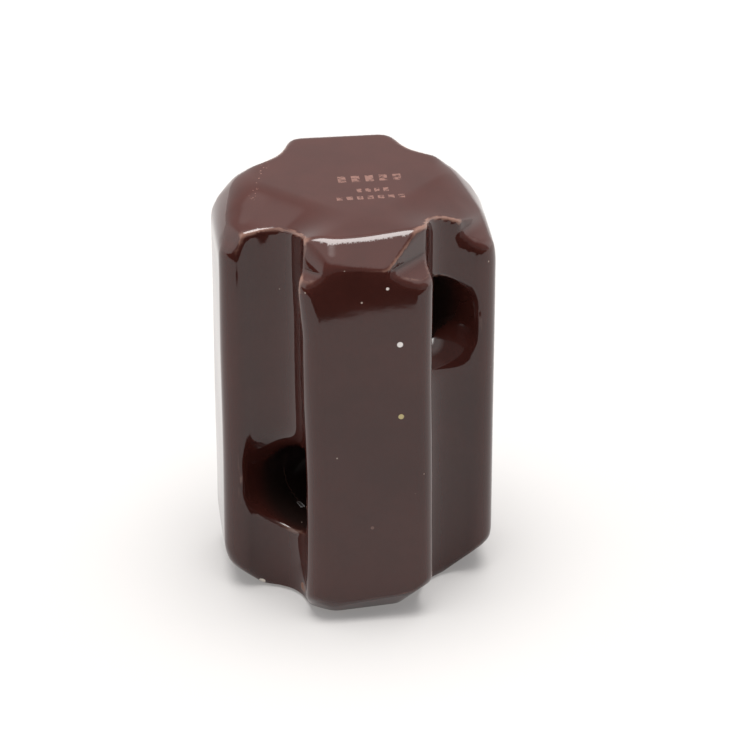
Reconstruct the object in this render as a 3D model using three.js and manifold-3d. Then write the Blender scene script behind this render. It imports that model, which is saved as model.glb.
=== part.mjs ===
// Porcelain guy strain insulator: a four-lobed block of fired clay with a coat of glaze.
//
// Two wire holes cross at right angles, one above the other, and four channels run lengthwise
// between the lobes. Each guy loop passes through its own hole and lies in two opposite channels
// on its way to the far end, so that the loops interlink and squeeze the clay between them.
//
// Frame: millimetres, +Z up along the block, origin at the middle of the bare end it was fired on.
// The low hole runs along Y, the high hole along X, and the lobes stand on the diagonals.

import * as THREE from "three";
import { mergeVertices } from "three/addons/utils/BufferGeometryUtils.js";
import Module from "manifold-3d";

// Block
const LENGTH = 108;
const ACROSS_FACES = 69.8; // between the flat faces of two opposite lobes
const LOBE_CORNER_RADIUS = 5; // upright corners, where a flat face turns into a channel
const END_ROUNDING = 3; // all round both ends, over the channels' mouths too
const END_BEVEL = 6.6; // leg of the flat 45 degree cut on each lobe's face at both ends
const ACROSS_CHANNELS = 69; // the square that the cuts beside the channels are measured from
const CORNER_BEVEL = 6; // leg of the 45 degree cut on the lobes' corners beside each channel

// Wire channels
const CHANNEL_RADIUS = 10.5;
const CHANNEL_FLOOR = 25.5; // from the block's axis

// Wire holes
const HOLE_DIAMETER = 20.6;
const HOLE_TO_END = 29.3; // from a hole's axis to the nearer end
const MOUTH_FLARE = 0.8; // how much wider a hole's radius gets where it opens into its channel
const MOUTH_DEPTH = 2.5; // length of that widening, inwards from the channel's floor

// Glaze
const GLAZE_THICKNESS = 0.45;
const GLAZE_GAP = 0.3; // parts the two solids; on the real piece the glaze is fused to the clay
const BARE_HEIGHT = 0.9; // how far above the fired end the glaze stops

// Facets
const ARC_STEPS = 4; // half the number of facets on each arc of the outline
const ROUNDING_STEPS = 4;
const HOLE_SIDES = 36;

const wasm = await Module();
wasm.setup();

// A closed geometry as a solid that can be joined and cut.
function solid(geometry) {
  const bare = geometry.clone();
  bare.deleteAttribute("normal");
  bare.deleteAttribute("uv");
  const merged = mergeVertices(bare);
  const vertProperties = merged.attributes.position.array;
  const triVerts = new Uint32Array(merged.index.array);
  return new wasm.Manifold(new wasm.Mesh({ numProp: 3, vertProperties, triVerts }));
}

// The cross-section: a square standing on its corner, a channel in each corner, and the eight
// upright corners rounded. Every line and arc moves inwards by the inset.
function outline(inset) {
  const face = ACROSS_FACES / 2 - inset;
  const corner = LOBE_CORNER_RADIUS - inset;
  const channel = CHANNEL_RADIUS + inset;
  const channelCentre = CHANNEL_FLOOR + CHANNEL_RADIUS;

  // Corner arc beside the channel on +X: its centre is one radius inside the flat face and one
  // radius outside the channel's circle. "along" is that centre's place along the flat face.
  const out = face - corner;
  const half = channelCentre / Math.SQRT2;
  const along = half - Math.sqrt((channel + corner) ** 2 - (out - half) ** 2);
  const cornerX = (out + along) / Math.SQRT2;
  const cornerY = (out - along) / Math.SQRT2;
  const toChannel = Math.atan2(-cornerY, channelCentre - cornerX);

  const shape = new THREE.Shape();
  for (let quarter = 0; quarter < 4; quarter++) {
    const turn = (quarter * Math.PI) / 2;
    const place = (x, y) => [x * Math.cos(turn) - y * Math.sin(turn), x * Math.sin(turn) + y * Math.cos(turn)];
    const back = Math.PI + toChannel;
    shape.absarc(...place(channelCentre, 0), channel, turn - back, turn + back, true);
    shape.absarc(...place(cornerX, cornerY), corner, turn + toChannel, turn + Math.PI / 4, false);
    shape.absarc(...place(cornerY, cornerX), corner, turn + Math.PI / 4, turn + Math.PI / 2 - toChannel, false);
  }
  return shape;
}

// The rounded prism between two heights, before the holes and the bevels.
function prism(inset, bottom, top) {
  const rounding = END_ROUNDING - inset;
  const geometry = new THREE.ExtrudeGeometry(outline(inset), {
    depth: top - bottom - 2 * rounding,
    curveSegments: ARC_STEPS,
    bevelThickness: rounding,
    bevelSize: rounding,
    bevelOffset: -rounding,
    bevelSegments: ROUNDING_STEPS,
  });
  return solid(geometry.translate(0, 0, bottom + rounding));
}

// A square block with its end edges cut at 45 degrees, its first corner turned from +X.
function bevelledSquare(across, bevel, turned, inset, bottom, top) {
  const face = across / 2 - inset;
  const leg = bevel - inset * (2 - Math.SQRT2);
  const shape = new THREE.Shape();
  for (let side = 0; side < 4; side++) {
    const turn = turned + (side * Math.PI) / 2;
    const point = [face * Math.SQRT2 * Math.cos(turn), face * Math.SQRT2 * Math.sin(turn)];
    if (side === 0) shape.moveTo(...point);
    else shape.lineTo(...point);
  }
  const geometry = new THREE.ExtrudeGeometry(shape, {
    depth: top - bottom - 2 * leg,
    bevelThickness: leg,
    bevelSize: leg,
    bevelOffset: -leg,
    bevelSegments: 1,
  });
  return solid(geometry.translate(0, 0, bottom + leg));
}

// A wire hole along Y at height zero, each end flared as a quarter of an ellipse.
function wireHole(inset) {
  const radius = HOLE_DIAMETER / 2 + inset;
  const past = ACROSS_FACES;
  const flare = [];
  for (let step = 0; step <= ROUNDING_STEPS; step++) {
    const turn = (step / ROUNDING_STEPS) * (Math.PI / 2);
    const wider = radius + MOUTH_FLARE * (1 - Math.cos(turn));
    const along = CHANNEL_FLOOR - inset - MOUTH_DEPTH * (1 - Math.sin(turn));
    flare.push([wider, along]);
  }
  const mouth = radius + MOUTH_FLARE;
  const profile = [
    new THREE.Vector2(0, -past),
    new THREE.Vector2(mouth, -past),
    ...flare.toReversed().map(([wider, along]) => new THREE.Vector2(wider, -along)),
    ...flare.map(([wider, along]) => new THREE.Vector2(wider, along)),
    new THREE.Vector2(mouth, past),
    new THREE.Vector2(0, past),
  ];
  return new THREE.LatheGeometry(profile, HOLE_SIDES);
}

// The whole block, with every surface moved inwards by the inset.
function block(inset) {
  const bottom = inset;
  const top = LENGTH - inset;
  const lowHole = wireHole(inset).translate(0, 0, HOLE_TO_END);
  const highHole = wireHole(inset).rotateZ(Math.PI / 2).translate(0, 0, LENGTH - HOLE_TO_END);
  return prism(inset, bottom, top)
    .intersect(bevelledSquare(ACROSS_FACES, END_BEVEL, 0, inset, bottom, top))
    .intersect(bevelledSquare(ACROSS_CHANNELS, CORNER_BEVEL, Math.PI / 4, inset, bottom, top))
    .subtract(solid(lowHole))
    .subtract(solid(highHole));
}

// The flat end that stood on the kiln shelf, reaching from the clay's rounded end down to zero.
function firedFoot(inset) {
  const depth = END_ROUNDING;
  const plug = new THREE.ExtrudeGeometry(outline(END_ROUNDING), {
    depth,
    curveSegments: ARC_STEPS,
    bevelEnabled: false,
  });
  const side = ACROSS_FACES - 2 * (END_BEVEL + inset);
  const limit = new THREE.BoxGeometry(side, side, 2 * depth + 2).rotateZ(Math.PI / 4);
  return solid(plug).intersect(solid(limit));
}

function mesh(name, made, colour, roughness) {
  const { vertProperties, triVerts } = made.getMesh();
  const geometry = new THREE.BufferGeometry();
  geometry.setAttribute("position", new THREE.BufferAttribute(vertProperties, 3));
  geometry.setIndex(new THREE.BufferAttribute(triVerts, 1));
  geometry.computeVertexNormals();
  const material = new THREE.MeshStandardMaterial({ color: colour, roughness, metalness: 0 });
  const piece = new THREE.Mesh(geometry, material);
  piece.name = name;
  return piece;
}

// Fired clay, bare only under the foot.
const clayInset = GLAZE_THICKNESS + GLAZE_GAP;
const clay = block(clayInset).add(firedFoot(clayInset));

// Glaze over the sides, the top, the channels and the holes, open at the fired end.
const below = new THREE.BoxGeometry(2 * ACROSS_FACES, 2 * ACROSS_FACES, 2 * BARE_HEIGHT);
const glaze = block(0).subtract(block(GLAZE_THICKNESS)).subtract(solid(below));

const insulator = new THREE.Group();
insulator.add(mesh("porcelain_body", clay, 0xd9cfc0, 0.75));
insulator.add(mesh("glaze_coat", glaze, 0x5b3230, 0.12));

export default insulator;
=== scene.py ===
import math

import bpy
import numpy as np
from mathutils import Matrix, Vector


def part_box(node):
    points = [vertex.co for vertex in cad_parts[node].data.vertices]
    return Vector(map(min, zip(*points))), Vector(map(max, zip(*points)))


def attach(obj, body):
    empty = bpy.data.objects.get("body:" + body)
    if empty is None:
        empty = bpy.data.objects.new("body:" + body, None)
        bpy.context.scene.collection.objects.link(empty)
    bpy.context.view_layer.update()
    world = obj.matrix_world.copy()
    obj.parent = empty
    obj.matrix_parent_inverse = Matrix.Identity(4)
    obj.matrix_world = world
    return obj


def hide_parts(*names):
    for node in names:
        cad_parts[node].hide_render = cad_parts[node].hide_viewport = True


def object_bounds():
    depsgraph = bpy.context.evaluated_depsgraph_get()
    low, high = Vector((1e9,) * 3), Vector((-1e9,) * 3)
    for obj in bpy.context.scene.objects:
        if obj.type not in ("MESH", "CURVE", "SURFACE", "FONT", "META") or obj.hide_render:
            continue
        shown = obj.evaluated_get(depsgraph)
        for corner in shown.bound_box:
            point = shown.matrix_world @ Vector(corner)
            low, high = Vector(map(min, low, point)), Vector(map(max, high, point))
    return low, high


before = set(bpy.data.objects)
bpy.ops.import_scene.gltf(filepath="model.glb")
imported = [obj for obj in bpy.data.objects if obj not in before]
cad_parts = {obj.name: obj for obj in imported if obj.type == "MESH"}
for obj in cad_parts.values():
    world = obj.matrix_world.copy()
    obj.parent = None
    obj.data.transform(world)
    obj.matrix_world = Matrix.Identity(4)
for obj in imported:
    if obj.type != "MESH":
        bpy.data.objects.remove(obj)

cad_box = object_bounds()


# ---- Clay block ---------------------------------------------------------------------------------
# One lump of wet-process porcelain, pressed round two crossed cores, trimmed by hand at both ends
# and fired standing up. Only the flat end it stood on is bare: glaze hides the rest of the clay.

MM = 0.001
LENGTH = cad_box[1][2] - cad_box[0][2]
MIDDLE = LENGTH / 2
FACE_OUT = 34.9 * MM  # from the axis to a lobe's flat face
UPRIGHT_ROUND = 5 * MM
CHANNEL_ROUND = 10.5 * MM
CHANNEL_FLOOR = 25.5 * MM
CHANNEL_CENTRE = CHANNEL_FLOOR + CHANNEL_ROUND
HOLE_ROUND = 10.3 * MM
HOLE_TO_END = 29.3 * MM
HOLE_LIP = 1.2 * MM  # how softly a wire hole opens into its channel
STRAND_BEND = 20 * MM  # how tightly the strand turns out of its hole and along the channels
FACE_BEVEL = 6.6 * MM
LEFT_BEVEL = 4.6 * MM
RIGHT_BEVEL = 8.6 * MM
BEVEL_SLOPE = 0.11  # the trimmer leaned a little on the front lobe
BEVEL_LIP = 0.5 * MM
SIDE_BEVEL_LIP = 7 * MM
END_LIP = 0.9 * MM
SIDE_END_LIP = 3 * MM  # the top's edge is soft on the left and right lobes
FOOT_LIP = 1.5 * MM
SCOOP_LIP = (1 * MM, 2.2 * MM)  # crisp beside the bevels, soft where a scoop runs out
SHOULDER = 30.5 * MM  # both ends are turned to a 45 degree cone this far out
FRONT_SHOULDER = 30.4 * MM
SHOULDER_LIP = 5 * MM
FRONT_SHOULDER_LIP = 2 * MM
FOOT_SCOOPS = (25 * MM, 28 * MM, 28 * MM, 28 * MM)  # out along +X, -X, +Y and -Y
TOP_SCOOPS = (28.4 * MM, 32 * MM, 31 * MM, 31.2 * MM)
TOP_LEANS = (-0.06, 0.2, 0.2, 0.15)  # how much further out each of them gets with depth
SCOOP_DEPTH = 7.3 * MM  # below this a top scoop curves out and fades
SCOOP_CURVE = 0.35 / MM
FRONT_LEFT_WIDER = (0.9 * MM, 2.0 * MM)  # upper half of the front lobe's left side, and its top
FRONT_RIGHT_WIDER = (1.9 * MM, 0.9 * MM)  # at the foot, and how much of that goes higher up
LEFT_SAG = 4.8 * MM  # how far the top sinks at the rim of the channel left of the front lobe
RIGHT_SAG = 8 * MM
ROLL_SWELL = 0.9 * MM
WAVE_HEIGHT = 0.06 * MM


def soft_max(a, b, blend):
    """The larger of two distances, with the corner between them rounded off."""
    overlap = np.maximum(blend - np.abs(a - b), 0)
    return np.maximum(a, b) + overlap**2 / (4 * blend)


def lobed_section(x, y):
    """Distance outside the section: a square on its corner, a channel in each corner, rounded."""
    far, near = np.maximum(np.abs(x), np.abs(y)), np.minimum(np.abs(x), np.abs(y))
    out = FACE_OUT - UPRIGHT_ROUND
    half = CHANNEL_CENTRE / math.sqrt(2)
    along = half - math.sqrt((CHANNEL_ROUND + UPRIGHT_ROUND) ** 2 - (out - half) ** 2)
    centre_x, centre_y = (out + along) / math.sqrt(2), (out - along) / math.sqrt(2)
    face = (far + near) / math.sqrt(2) - FACE_OUT
    channel = CHANNEL_ROUND - np.hypot(far - CHANNEL_CENTRE, near)
    right, up = far - centre_x, near - centre_y
    past_channel = (CHANNEL_CENTRE - centre_x) * up + centre_y * right >= 0
    corner = past_channel & (right >= up)
    return np.where(corner, np.hypot(right, up) - UPRIGHT_ROUND, np.maximum(face, channel))


def hump(distance, width):
    """A smooth rise of height one around zero."""
    return np.exp(-0.5 * (distance / width) ** 2)


def eased(distance, start, end):
    """A smooth step from zero at the start to one at the end."""
    share = np.clip((distance - start) / (end - start), 0, 1)
    return share * share * (3 - 2 * share)


def shaped_sides(points):
    """Distance outside the block's sides, bevels and holes, with neither end closed."""
    x, y, z = points[..., 0], points[..., 1], points[..., 2]
    upper = z > MIDDLE
    depth = np.minimum(z, LENGTH - z)
    out = (np.abs(x) + np.abs(y)) / math.sqrt(2)

    # the front lobe is wider than the others, most of all at the top of its left side
    across = (x + y) / math.sqrt(2)
    side, head = FRONT_LEFT_WIDER
    left = side * eased(z, 40 * MM, 75 * MM) + head * eased(z, 80 * MM, 98 * MM)
    foot, gone = FRONT_RIGHT_WIDER
    right = foot - gone * eased(z, 10 * MM, 80 * MM)
    on_lobe = (x > 0) * (y < 0) * eased(np.minimum(x, -y), 0, 8 * MM)
    pull = left * hump(across + 14 * MM, 5 * MM) - right * hump(across - 13 * MM, 5 * MM)
    pull = pull * on_lobe / math.sqrt(2)
    surface = lobed_section(x + pull, y + pull)

    # a fat roll of glaze and clay under the left lobe's rim
    roll = hump(np.hypot(x + 24.5 * MM, y + 24.5 * MM), 9 * MM) * hump(z - 103 * MM, 4 * MM)
    surface = surface - ROLL_SWELL * roll

    # each lobe's two corners are cut away at both ends, beside the channels
    past = np.maximum(depth - SCOOP_DEPTH, 0)
    lip = SCOOP_LIP[0] + (SCOOP_LIP[1] - SCOOP_LIP[0]) * np.clip(past / (4 * MM), 0, 1)
    for outward, top, lean, foot in zip((x, -x, y, -y), TOP_SCOOPS, TOP_LEANS, FOOT_SCOOPS):
        steep = np.sqrt(1 + (lean + 2 * SCOOP_CURVE * past) ** 2)
        top_scoop = (outward - top - lean * depth - SCOOP_CURVE * past**2) / steep
        foot_scoop = (outward - foot - depth) / math.sqrt(2)
        cut = np.where(upper, top_scoop, foot_scoop)
        surface = soft_max(surface, cut, np.where(upper, lip, FOOT_LIP))

    front = np.clip((x - y) / (20 * MM) - 0.7, 0, 1)
    shoulder = SHOULDER + (FRONT_SHOULDER - SHOULDER) * front
    shoulder_lip = SHOULDER_LIP + (FRONT_SHOULDER_LIP - SHOULDER_LIP) * front
    surface = soft_max(surface, (np.hypot(x, y) - depth - shoulder) / math.sqrt(2), shoulder_lip)

    # a flat 45 degree cut on each lobe's face
    tilt = BEVEL_SLOPE * np.where((x > 0) & (y < 0), (x + y) / math.sqrt(2), 0)
    side = upper * eased(np.abs(x + y) - np.abs(x - y), 0, 20 * MM)
    leg = FACE_BEVEL + side * (np.where(x < 0, LEFT_BEVEL, RIGHT_BEVEL) - FACE_BEVEL)
    bevel = (out - depth + tilt - FACE_OUT + leg) / math.sqrt(2)
    surface = soft_max(surface, bevel, BEVEL_LIP + side * (SIDE_BEVEL_LIP - BEVEL_LIP))

    # each strand's way: through its hole, round a bend and along two channels to the far end
    for across, along, height in ((x, y, z - HOLE_TO_END), (y, x, LENGTH - HOLE_TO_END - z)):
        surface = soft_max(surface, HOLE_ROUND - np.hypot(across, height), HOLE_LIP)
        past = np.abs(along) - CHANNEL_CENTRE + STRAND_BEND
        below = STRAND_BEND - height
        bent = np.hypot(across, np.hypot(past, below) - STRAND_BEND)
        straight = np.hypot(across, past - STRAND_BEND)
        way = np.where(past < 0, 1, np.where(below < 0, straight, bent))
        surface = soft_max(surface, HOLE_ROUND - way, HOLE_LIP)

    # slow waves left by handling the wet clay
    waves = np.sin(x / (9 * MM) + z / (15 * MM)) * np.sin(y / (10 * MM) - z / (19 * MM))
    waves = waves + 0.5 * np.sin(z / (9 * MM) + y / (11 * MM))
    return surface + WAVE_HEIGHT * waves


def top_end(points):
    """Distance above the top face, which sinks towards the rims of the two front channels."""
    x, y, z = points[..., 0], points[..., 1], points[..., 2]
    out, across = (x - y) / math.sqrt(2), (x + y) / math.sqrt(2)
    dip = 0.5 * MM * hump(out - 30 * MM, 6 * MM) * hump(across + 1 * MM, 7 * MM)
    left = LEFT_SAG * eased(-y, 13 * MM, 32 * MM) * eased(-x, -13 * MM, 2 * MM)
    left = left * eased(x, -30 * MM, -12 * MM)
    right = RIGHT_SAG * eased(x, 14 * MM, 32 * MM) * eased(y, -12 * MM, 20 * MM)
    return z - LENGTH + dip + left + right


def top_lip(points):
    """How far the top's edge is rounded off."""
    x, y = points[..., 0], points[..., 1]
    side = eased(np.abs(x + y) - np.abs(x - y), 2 * MM, 24 * MM) * eased(y - x, -18 * MM, -6 * MM)
    return END_LIP + (SIDE_END_LIP - END_LIP) * side


def slope_of(field, points):
    """The field's gradient, from four points around each one."""
    reach = 0.05 * MM
    total = 0
    for corner in ((1, -1, -1), (-1, -1, 1), (-1, 1, -1), (1, 1, 1)):
        away = np.array(corner)
        total = total + field(points + reach * away)[..., None] * away
    return total / (4 * reach)


def settle(field, points, rounds):
    """Moves points on to the zero level of a field."""
    for _ in range(rounds):
        slope = slope_of(field, points)
        steep = np.maximum((slope**2).sum(-1), 0.1)
        points = points - slope * (field(points) / steep)[:, None]
    return points


def skin(field, low, high, step):
    """Points and four-sided faces over the zero level of a field, with points on its creases."""
    counts = [math.ceil((above - below) / step) + 4 for below, above in zip(low, high)]
    starts = [below - 1.5 * step for below in low]
    rulers = [start + step * np.arange(count) for start, count in zip(starts, counts)]
    grid = np.stack(np.meshgrid(*rulers, indexing="ij"), axis=-1)
    value = field(grid)
    cells, touching, facing, rings = [], [], [], []
    for axis in range(3):
        second, third = (axis + 1) % 3, (axis + 2) % 3
        near = np.take(value, range(counts[axis] - 1), axis)
        far = np.take(value, range(1, counts[axis]), axis)
        place = np.argwhere((near < 0) != (far < 0))
        place = place[(place[:, second] > 0) & (place[:, third] > 0)]
        first, last = near[tuple(place.T)], far[tuple(place.T)]
        point = grid[tuple(place.T)].copy()
        point[:, axis] += step * first / (first - last)
        slope = slope_of(field, point)
        slope /= np.linalg.norm(slope, axis=1, keepdims=True)
        ring = []
        for back_second, back_third in ((1, 1), (0, 1), (0, 0), (1, 0)):
            cell = place.copy()
            cell[:, second] -= back_second
            cell[:, third] -= back_third
            ring.append(np.ravel_multi_index(cell.T, counts))
        ring = np.array(ring).T
        ring[first >= 0] = ring[first >= 0][:, ::-1]
        rings.append(ring)
        for column in range(4):
            cells.append(ring[:, column])
            touching.append(point)
            facing.append(slope)
    cells = np.concatenate(cells)
    touching = np.concatenate(touching)
    facing = np.concatenate(facing)
    used, owner = np.unique(cells, return_inverse=True)

    def gathered(amount):
        return np.bincount(owner, amount, len(used))

    share = gathered(np.ones(len(cells)))
    middle = np.stack([gathered(touching[:, a]) for a in range(3)], -1) / share[:, None]
    pull = 0.06
    square = np.zeros((len(used), 3, 3))
    right = middle * pull
    reached = (facing * touching).sum(-1)
    for a in range(3):
        right[:, a] += gathered(facing[:, a] * reached)
        square[:, a, a] += pull
        for b in range(3):
            square[:, a, b] += gathered(facing[:, a] * facing[:, b])
    points = np.linalg.solve(square, right[..., None])[..., 0]
    points = middle + np.clip(points - middle, -0.6 * step, 0.6 * step)
    faces = np.searchsorted(used, np.concatenate(rings))
    return settle(field, points, 3), faces


def mesh_piece(name, points, faces, facing):
    """A smooth mesh object whose shading follows the form's own slope."""
    mesh = bpy.data.meshes.new(name)
    mesh.vertices.add(len(points))
    mesh.vertices.foreach_set("co", points.astype(np.float32).ravel())
    mesh.loops.add(faces.size)
    mesh.loops.foreach_set("vertex_index", faces.astype(np.int32).ravel())
    mesh.polygons.add(len(faces))
    mesh.polygons.foreach_set("loop_start", np.arange(0, faces.size, 4, dtype=np.int32))
    mesh.update(calc_edges=True)
    mesh.validate()
    mesh.shade_smooth()
    mesh.normals_split_custom_set_from_vertices(facing)
    made = bpy.data.objects.new(name, mesh)
    bpy.context.scene.collection.objects.link(made)
    return made


def unit(slope):
    return slope / np.linalg.norm(slope, axis=1, keepdims=True)


class Shade:
    """One socket of a material, so that a finish is written as sums on what varies over it."""

    def __init__(self, tree, socket=None):
        self.tree = tree
        self.socket = socket

    def node(self, kind, settings=None, sockets=None, output=0):
        """Adds any node: its settings first, then the values or links of its sockets."""
        made = self.tree.nodes.new(kind)
        for setting, value in (settings or {}).items():
            setattr(made, setting, value)
        for socket, value in (sockets or {}).items():
            if isinstance(value, Shade):
                self.tree.links.new(value.socket, made.inputs[socket])
            else:
                made.inputs[socket].default_value = value
        return Shade(self.tree, made.outputs[output])

    def maths(self, operation, *values):
        return self.node("ShaderNodeMath", {"operation": operation}, dict(enumerate(values)))

    def __add__(self, other):
        return self.maths("ADD", self, other)

    def __radd__(self, other):
        return self.maths("ADD", other, self)

    def __sub__(self, other):
        return self.maths("SUBTRACT", self, other)

    def __rsub__(self, other):
        return self.maths("SUBTRACT", other, self)

    def __mul__(self, other):
        return self.maths("MULTIPLY", self, other)

    def __rmul__(self, other):
        return self.maths("MULTIPLY", other, self)

    def __truediv__(self, other):
        return self.maths("DIVIDE", self, other)

    def __abs__(self):
        return self.maths("ABSOLUTE", self)

    def step(self, low, high):
        """From 0 below low to 1 above high, smoothly; high may be the smaller."""
        limits = {"From Min": low, "From Max": high, "Value": self}
        return self.node("ShaderNodeMapRange", {"interpolation_type": "SMOOTHSTEP"}, limits)

    def mix(self, first, second):
        """Two colours mixed by this factor."""
        return self.node("ShaderNodeMix", {"data_type": "RGBA"}, {0: self, 6: first, 7: second}, 2)

    def noise(self, place, scale, detail=2.0, rough=0.5):
        sockets = {"Vector": place, "Scale": scale, "Detail": detail, "Roughness": rough}
        return self.node("ShaderNodeTexNoise", {}, sockets)

    def dots(self, place, scale, size):
        """Sparse round specks of one size, in a jumbled grid."""
        sockets = {"Vector": place, "Scale": scale, "Randomness": 1.0}
        return self.node("ShaderNodeTexVoronoi", {}, sockets).step(size, size * 0.55)


def finish(name):
    """A new material's nodes and its shader."""
    material = bpy.data.materials.new(name)
    material.use_nodes = True
    tree = material.node_tree
    return material, Shade(tree), tree.nodes["Principled BSDF"]


def feed(shade, shader, **sockets):
    """Links what varies, and sets what is the same all over, on the shader's own sockets."""
    for name, value in sockets.items():
        target = shader.inputs[name.replace("_", " ")]
        if isinstance(value, Shade):
            shade.tree.links.new(value.socket, target)
        else:
            target.default_value = value


CLAY_UNDER = 0.7 * MM  # how far the clay lies below the glaze's surface
CLAY_STEP = 1.4 * MM
ROOM = 3 * MM  # how far past its plain box a piece is looked for, as the front lobe is wider


def clay_field(points):
    below_glaze = soft_max(shaped_sides(points), top_end(points), top_lip(points)) + CLAY_UNDER
    return soft_max(below_glaze, -points[..., 2], 0.6 * MM)


def bare_porcelain():
    """Fired clay: warm off-white, matt, with fine grit, kiln-shelf marks and a toasted edge."""
    material, shade, shader = finish("bare_porcelain")
    place = shade.node("ShaderNodeTexCoord", output=3)
    patch = shade.noise(place, 55, 4).step(0.35, 0.7)
    grit = shade.noise(place, 1400, 3, 0.7)
    colour = patch.mix((0.62, 0.53, 0.44, 1), (0.74, 0.68, 0.60, 1))
    toasted = shade.noise(place, 90, 5, 0.65).step(0.56, 0.72)
    colour = (toasted * 0.6).mix(colour, (0.42, 0.20, 0.09, 1))
    pits = shade.dots(place, 260, 0.16)
    colour = (pits * 0.7).mix(colour, (0.20, 0.13, 0.09, 1))
    height = grit * 0.6 - pits
    bump = shade.node("ShaderNodeBump", {}, {"Strength": 0.35, "Distance": 0.0004, "Height": height})
    feed(shade, shader, Base_Color=colour, Roughness=grit * 0.25 + 0.62, Normal=bump)
    return material


clay_low, clay_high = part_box("porcelain_body")
clay_low = [low - ROOM for low in clay_low]
clay_high = [high + ROOM for high in clay_high]
clay_points, clay_faces = skin(clay_field, clay_low, clay_high, CLAY_STEP)
clay_facing = unit(slope_of(clay_field, clay_points))
clay = mesh_piece("porcelain_block", clay_points, clay_faces, clay_facing)
clay.data.materials.append(bare_porcelain())
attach(clay, "root")
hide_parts("porcelain_body")


# ---- Glaze coat ---------------------------------------------------------------------------------
# A glassy brown glaze, dipped on and fired to the clay. It runs thin and pale over sharp edges,
# pools dark in the hollows, and stops just above the foot, where it was wiped off before firing.

GLAZE_THICK = 0.4 * MM
GLAZE_STEP = 0.9 * MM
glaze_low, glaze_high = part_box("glaze_coat")
RIM = glaze_low[2]


def glaze_field(points):
    return soft_max(shaped_sides(points), top_end(points), top_lip(points))


def open_skin(points, faces):
    """The skin above the rim, with its open edge drawn level along the rim."""
    kept = faces[(points[faces][..., 2] > RIM).all(axis=1)]
    used, faces = np.unique(kept, return_inverse=True)
    points = points[used]
    faces = faces.reshape(-1, 4)
    ahead = np.stack([faces, np.roll(faces, -1, axis=1)], -1).reshape(-1, 2)
    forward = ahead[:, 0] * len(points) + ahead[:, 1]
    backward = ahead[:, 1] * len(points) + ahead[:, 0]
    edge = ahead[~np.isin(forward, backward)]
    on_rim = np.unique(edge)
    for _ in range(6):
        rim = points[on_rim]
        rim[:, 2] = RIM
        slope = slope_of(glaze_field, rim)
        slope[:, 2] = 0
        rim = rim - slope * (glaze_field(rim) / np.maximum((slope**2).sum(-1), 0.2))[:, None]
        points[on_rim] = rim
    return points, faces, edge


glaze_low = [glaze_low[0] - ROOM, glaze_low[1] - ROOM, RIM]
glaze_high = [high + ROOM for high in glaze_high]
glaze_points, glaze_faces = skin(glaze_field, glaze_low, glaze_high, GLAZE_STEP)
glaze_points, glaze_faces, rim_edge = open_skin(glaze_points, glaze_faces)
glaze_facing = unit(slope_of(glaze_field, glaze_points))
count = len(glaze_points)
inner_points = glaze_points - GLAZE_THICK * glaze_facing
inner_points[:, 2] = np.maximum(inner_points[:, 2], RIM)
rim_faces = np.stack([rim_edge[:, 1], rim_edge[:, 0], rim_edge[:, 0] + count, rim_edge[:, 1] + count], -1)
all_points = np.concatenate([glaze_points, inner_points])
all_faces = np.concatenate([glaze_faces, glaze_faces[:, ::-1] + count, rim_faces])
all_facing = np.concatenate([glaze_facing, -glaze_facing])
glaze = mesh_piece("glaze_surface", all_points, all_faces, all_facing)

# how sharply the surface bends, outwards above zero and inwards below
bend_reach = 0.5 * MM
bend = -6 * glaze_field(glaze_points)
for axis in range(3):
    for side in (-bend_reach, bend_reach):
        beside = glaze_points.copy()
        beside[:, axis] += side
        bend = bend + glaze_field(beside)
bend = np.clip(bend / bend_reach**2 * MM, -1, 1)
edges = glaze.data.attributes.new("bend", "FLOAT", "POINT")
edges.data.foreach_set("value", np.concatenate([bend, bend]).astype(np.float32))

# how far the surface lies within the wire holes, where the glaze gets painted shade
hole_shade = 0
for across, along, height in ((0, 1, HOLE_TO_END), (1, 0, LENGTH - HOLE_TO_END)):
    radius = np.hypot(glaze_points[:, across], glaze_points[:, 2] - height)
    deep = eased(CHANNEL_FLOOR + 2 * MM - np.abs(glaze_points[:, along]), 0, 6 * MM)
    hole_shade = np.maximum(hole_shade, deep * (np.abs(radius - HOLE_ROUND) < 1 * MM))
holes = glaze.data.attributes.new("hole_shade", "FLOAT", "POINT")
holes.data.foreach_set("value", np.concatenate([hole_shade, hole_shade]).astype(np.float32))


# spots and chips on the glaze: where in millimetres, how large across half, and their colour
GLAZE_SPOTS = (
    ((30.1, -19.3, 80.3), 0.75, (0.75, 0.72, 0.70, 1)),  # kiln grit, melted in
    ((30.3, -19.0, 59.9), 0.70, (0.45, 0.38, 0.18, 1)),
    ((27.9, -21.5, 96.0), 0.40, (0.70, 0.62, 0.58, 1)),
    ((23.4, -26.0, 92.6), 0.25, (0.40, 0.32, 0.28, 1)),
    ((25.2, -24.1, 28.1), 0.45, (0.12, 0.06, 0.05, 1)),
    ((4.4, -26.5, 3.5), 1.30, (0.13, 0.045, 0.02, 1)),
    ((-8.0, -28.3, 1.6), 0.90, (0.75, 0.68, 0.60, 1)),
)


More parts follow.
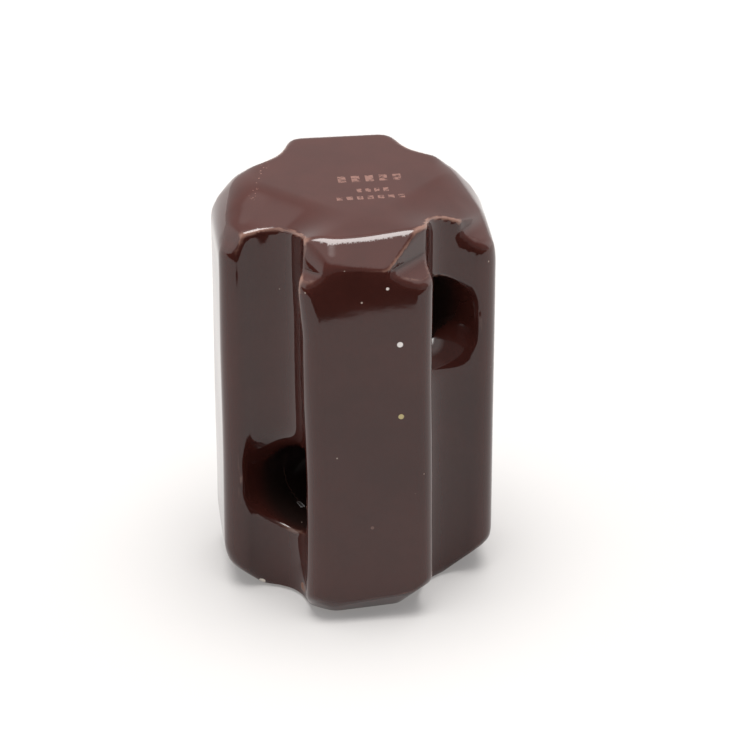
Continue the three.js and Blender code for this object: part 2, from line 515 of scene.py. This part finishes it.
def end_marks(shade, place, streak):
    """Plain rows of worn dashes on the top face, and a chain of pinholes along one rim."""
    parts = shade.node("ShaderNodeSeparateXYZ", {}, {0: place}).socket.node.outputs
    x, y, z = (Shade(shade.tree, part) / MM for part in parts)
    across, out = (x + y) * math.sqrt(0.5), (x - y) * math.sqrt(0.5)
    top = z.step(106.3, 107.2)
    marks = 0
    rows = ((-2.4, 1.7, -3.5, 14.0, 3.5), (4.3, 1.0, 0.5, 9.5, 2.25), (8.4, 0.9, -5.0, 13.0, 2.6))
    for middle, half, start, end, pitch in rows:
        dash = shade.maths("FRACT", (across - start) / pitch).step(0.62, 0.56)
        row = abs(out - middle).step(half + 0.15, half - 0.15)
        marks = dash * row * across.step(start, start + 0.2) * across.step(end, end - 0.2) + marks
    worn = shade.noise(place, 900, 3, 0.7).step(0.36, 0.56)
    chain = abs(x * 0.886 + y * 0.464 + 23.7).step(1.3, 0.3) * y.step(-30, -28) * y.step(-3, -5)
    pinholes = shade.dots(place, 1100, 0.30) * chain
    return (marks * worn + pinholes) * top


def brown_glaze():
    material, shade, shader = finish("brown_glaze")
    place = shade.node("ShaderNodeTexCoord", output=3)
    bend = shade.node("ShaderNodeAttribute", {"attribute_name": "bend"}, output=2)
    cloud = shade.noise(place, 30, 3).step(0.3, 0.72)
    streak = shade.noise(place, 130, 4, 0.6).step(0.35, 0.7)
    colour = cloud.mix((0.034, 0.0090, 0.0070, 1), (0.044, 0.0120, 0.0092, 1))
    colour = (streak * 0.25).mix(colour, (0.024, 0.0068, 0.005, 1))
    thin = (bend + (streak - 0.5) * 0.12).step(0.45, 1.0)
    colour = (thin * 0.45).mix(colour, (0.30, 0.17, 0.13, 1))
    pooled = (bend * -1).step(0.1, 0.6)
    colour = (pooled * 0.6).mix(colour, (0.010, 0.004, 0.003, 1))
    hole_shade = shade.node("ShaderNodeAttribute", {"attribute_name": "hole_shade"}, output=2)
    # painted shade: the glaze turns near black deep within the wire holes
    colour = (hole_shade * 0.8).mix(colour, (0.010, 0.008, 0.007, 1))
    specks = shade.dots(place, 120, 0.035)
    colour = (specks * 0.6).mix(colour, (0.40, 0.32, 0.27, 1))
    freckles = shade.dots(place, 210, 0.09)
    colour = (freckles * 0.35).mix(colour, (0.03, 0.012, 0.010, 1))
    peel = shade.noise(place, 420, 2, 0.5)
    ripple = shade.noise(place, 90, 2, 0.5)
    raised = 0
    for middle, size, tint in GLAZE_SPOTS:
        reach = {0: place, 1: [step * MM for step in middle]}
        away = shade.node("ShaderNodeVectorMath", {"operation": "DISTANCE"}, reach, 1)
        spot = away.step(size * 1.15 * MM, size * 0.85 * MM)
        colour = (spot * 0.9).mix(colour, tint)
        raised = spot + raised
    marks = end_marks(shade, place, streak)
    colour = (marks * 0.4).mix(colour, (0.30, 0.16, 0.13, 1))
    height = raised + peel * 0.08 + ripple * 0.3 + specks * 0.5
    bump = shade.node("ShaderNodeBump", {}, {"Strength": 0.10, "Distance": 0.0006, "Height": height})
    rough = cloud * 0.02 + 0.035 + specks * 0.2
    feed(shade, shader, Base_Color=colour, Roughness=rough, Normal=bump, IOR=1.5)
    return material


glaze.data.materials.append(brown_glaze())
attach(glaze, "root")
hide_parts("glaze_coat")


# ---- Floor --------------------------------------------------------------------------------------
# A sheet of matt white paper, and past its front edge the dark of the room, which only the
# glaze's reflections see.

camera_turn = math.radians(38)
camera_rise = math.radians(29)
forward = Vector((math.sin(camera_turn), -math.cos(camera_turn), 0))
sideways = Vector((math.cos(camera_turn), math.sin(camera_turn), 0))


def flat_sheet(name, middle, wide, deep, height):
    corners = []
    for a, b in ((-1, -1), (1, -1), (1, 1), (-1, 1)):
        corner = middle + sideways * (a * wide / 2) - forward * (b * deep / 2)
        corners.append((corner.x, corner.y, height))
    mesh = bpy.data.meshes.new(name)
    mesh.from_pydata(corners, [], [(0, 1, 2, 3)])
    made = bpy.data.objects.new(name, mesh)
    bpy.context.scene.collection.objects.link(made)
    return made


def paper():
    material, shade, shader = finish("white_paper")
    feed(shade, shader, Base_Color=(0.30, 0.295, 0.292, 1), Roughness=0.9, IOR=1.2)
    # painted light: the paper glows faintly, which lifts its shadows and lights the block from below
    feed(shade, shader, Emission_Color=(1, 0.975, 0.97, 1), Emission_Strength=0.2)
    return material


def dark_card():
    material, shade, shader = finish("dark_card")
    feed(shade, shader, Base_Color=(0.01, 0.01, 0.01, 1), Roughness=1.0, IOR=1.0)
    return material


FLOOR_BELOW = 0.05 * MM  # so that the paper and the foot don't lie in one plane
floor = flat_sheet("floor", Vector((0, 0, 0)), 8, 8, -FLOOR_BELOW)
floor.data.materials.append(paper())
PAPER_FRONT = 0.198
# a dark sheet that shows only in reflections and stands in for the unlit room: a painted dark reflection
card = flat_sheet("front_card", forward * (PAPER_FRONT + 1.5), 3.4, 3, 0.0006)
card.data.materials.append(dark_card())
card.visible_camera = False
card.visible_diffuse = False
card.visible_shadow = False


# ---- Studio light -------------------------------------------------------------------------------
# A broad soft ceiling, pale walls behind and at the sides, and an unlit front.

world = bpy.data.worlds.new("studio")
bpy.context.scene.world = world
world.use_nodes = True
sky = Shade(world.node_tree)
way = sky.node("ShaderNodeTexCoord", output=0)
dark_turn = camera_turn + math.radians(23)
dark_way = (math.sin(dark_turn), -math.cos(dark_turn), 0)
ahead = sky.node("ShaderNodeVectorMath", {"operation": "DOT_PRODUCT"}, {0: way, 1: dark_way}, 1)
parts = sky.node("ShaderNodeSeparateXYZ", {}, {0: way})
rise = Shade(world.node_tree, parts.socket.node.outputs[2])
front_dark = ahead.step(0.20, 0.38) * rise.step(0.74, 0.60)
lamp_way = (Vector((0, 0, 1)) + forward * 0.02).normalized()
lamp = sky.node("ShaderNodeVectorMath", {"operation": "DOT_PRODUCT"}, {0: way, 1: tuple(lamp_way)}, 1)
ceiling = rise.step(0.70, 0.80) * 0.45 + lamp.step(0.89, 0.95) * 12.5
behind = ahead.step(-0.35, -0.75)
beside = sky.node("ShaderNodeVectorMath", {"operation": "DOT_PRODUCT"}, {0: way, 1: tuple(sideways)}, 1)
walls = 0.92 - behind * 0.28 + abs(beside).step(0.6, 0.9) * 0.6
strength = (ceiling + walls) * (1 - front_dark * 0.75)
background = world.node_tree.nodes["Background"]
background.inputs["Color"].default_value = (1, 0.985, 0.97, 1)
world.node_tree.links.new(strength.socket, background.inputs["Strength"])


# ---- Camera -------------------------------------------------------------------------------------
# A long lens from the front lobe's side and a little above it.

back = forward * math.cos(camera_rise) + Vector((0, 0, math.sin(camera_rise)))
upward = back.cross(sideways)
CAMERA_AWAY = 0.95
aim = Vector((0, 0, MIDDLE)) + sideways * 5.66 * MM - upward * 0.77 * MM
lens = bpy.data.cameras.new("camera")
lens.sensor_width = 36
lens.lens = 177.1
lens.clip_start = 0.05
camera = bpy.data.objects.new("camera", lens)
bpy.context.scene.collection.objects.link(camera)
camera.location = aim + back * CAMERA_AWAY
camera.rotation_euler = (-back).to_track_quat("-Z", "Y").to_euler()
bpy.context.scene.camera = camera

view = bpy.context.scene.view_settings
view.view_transform = "Standard"
view.look = "None"
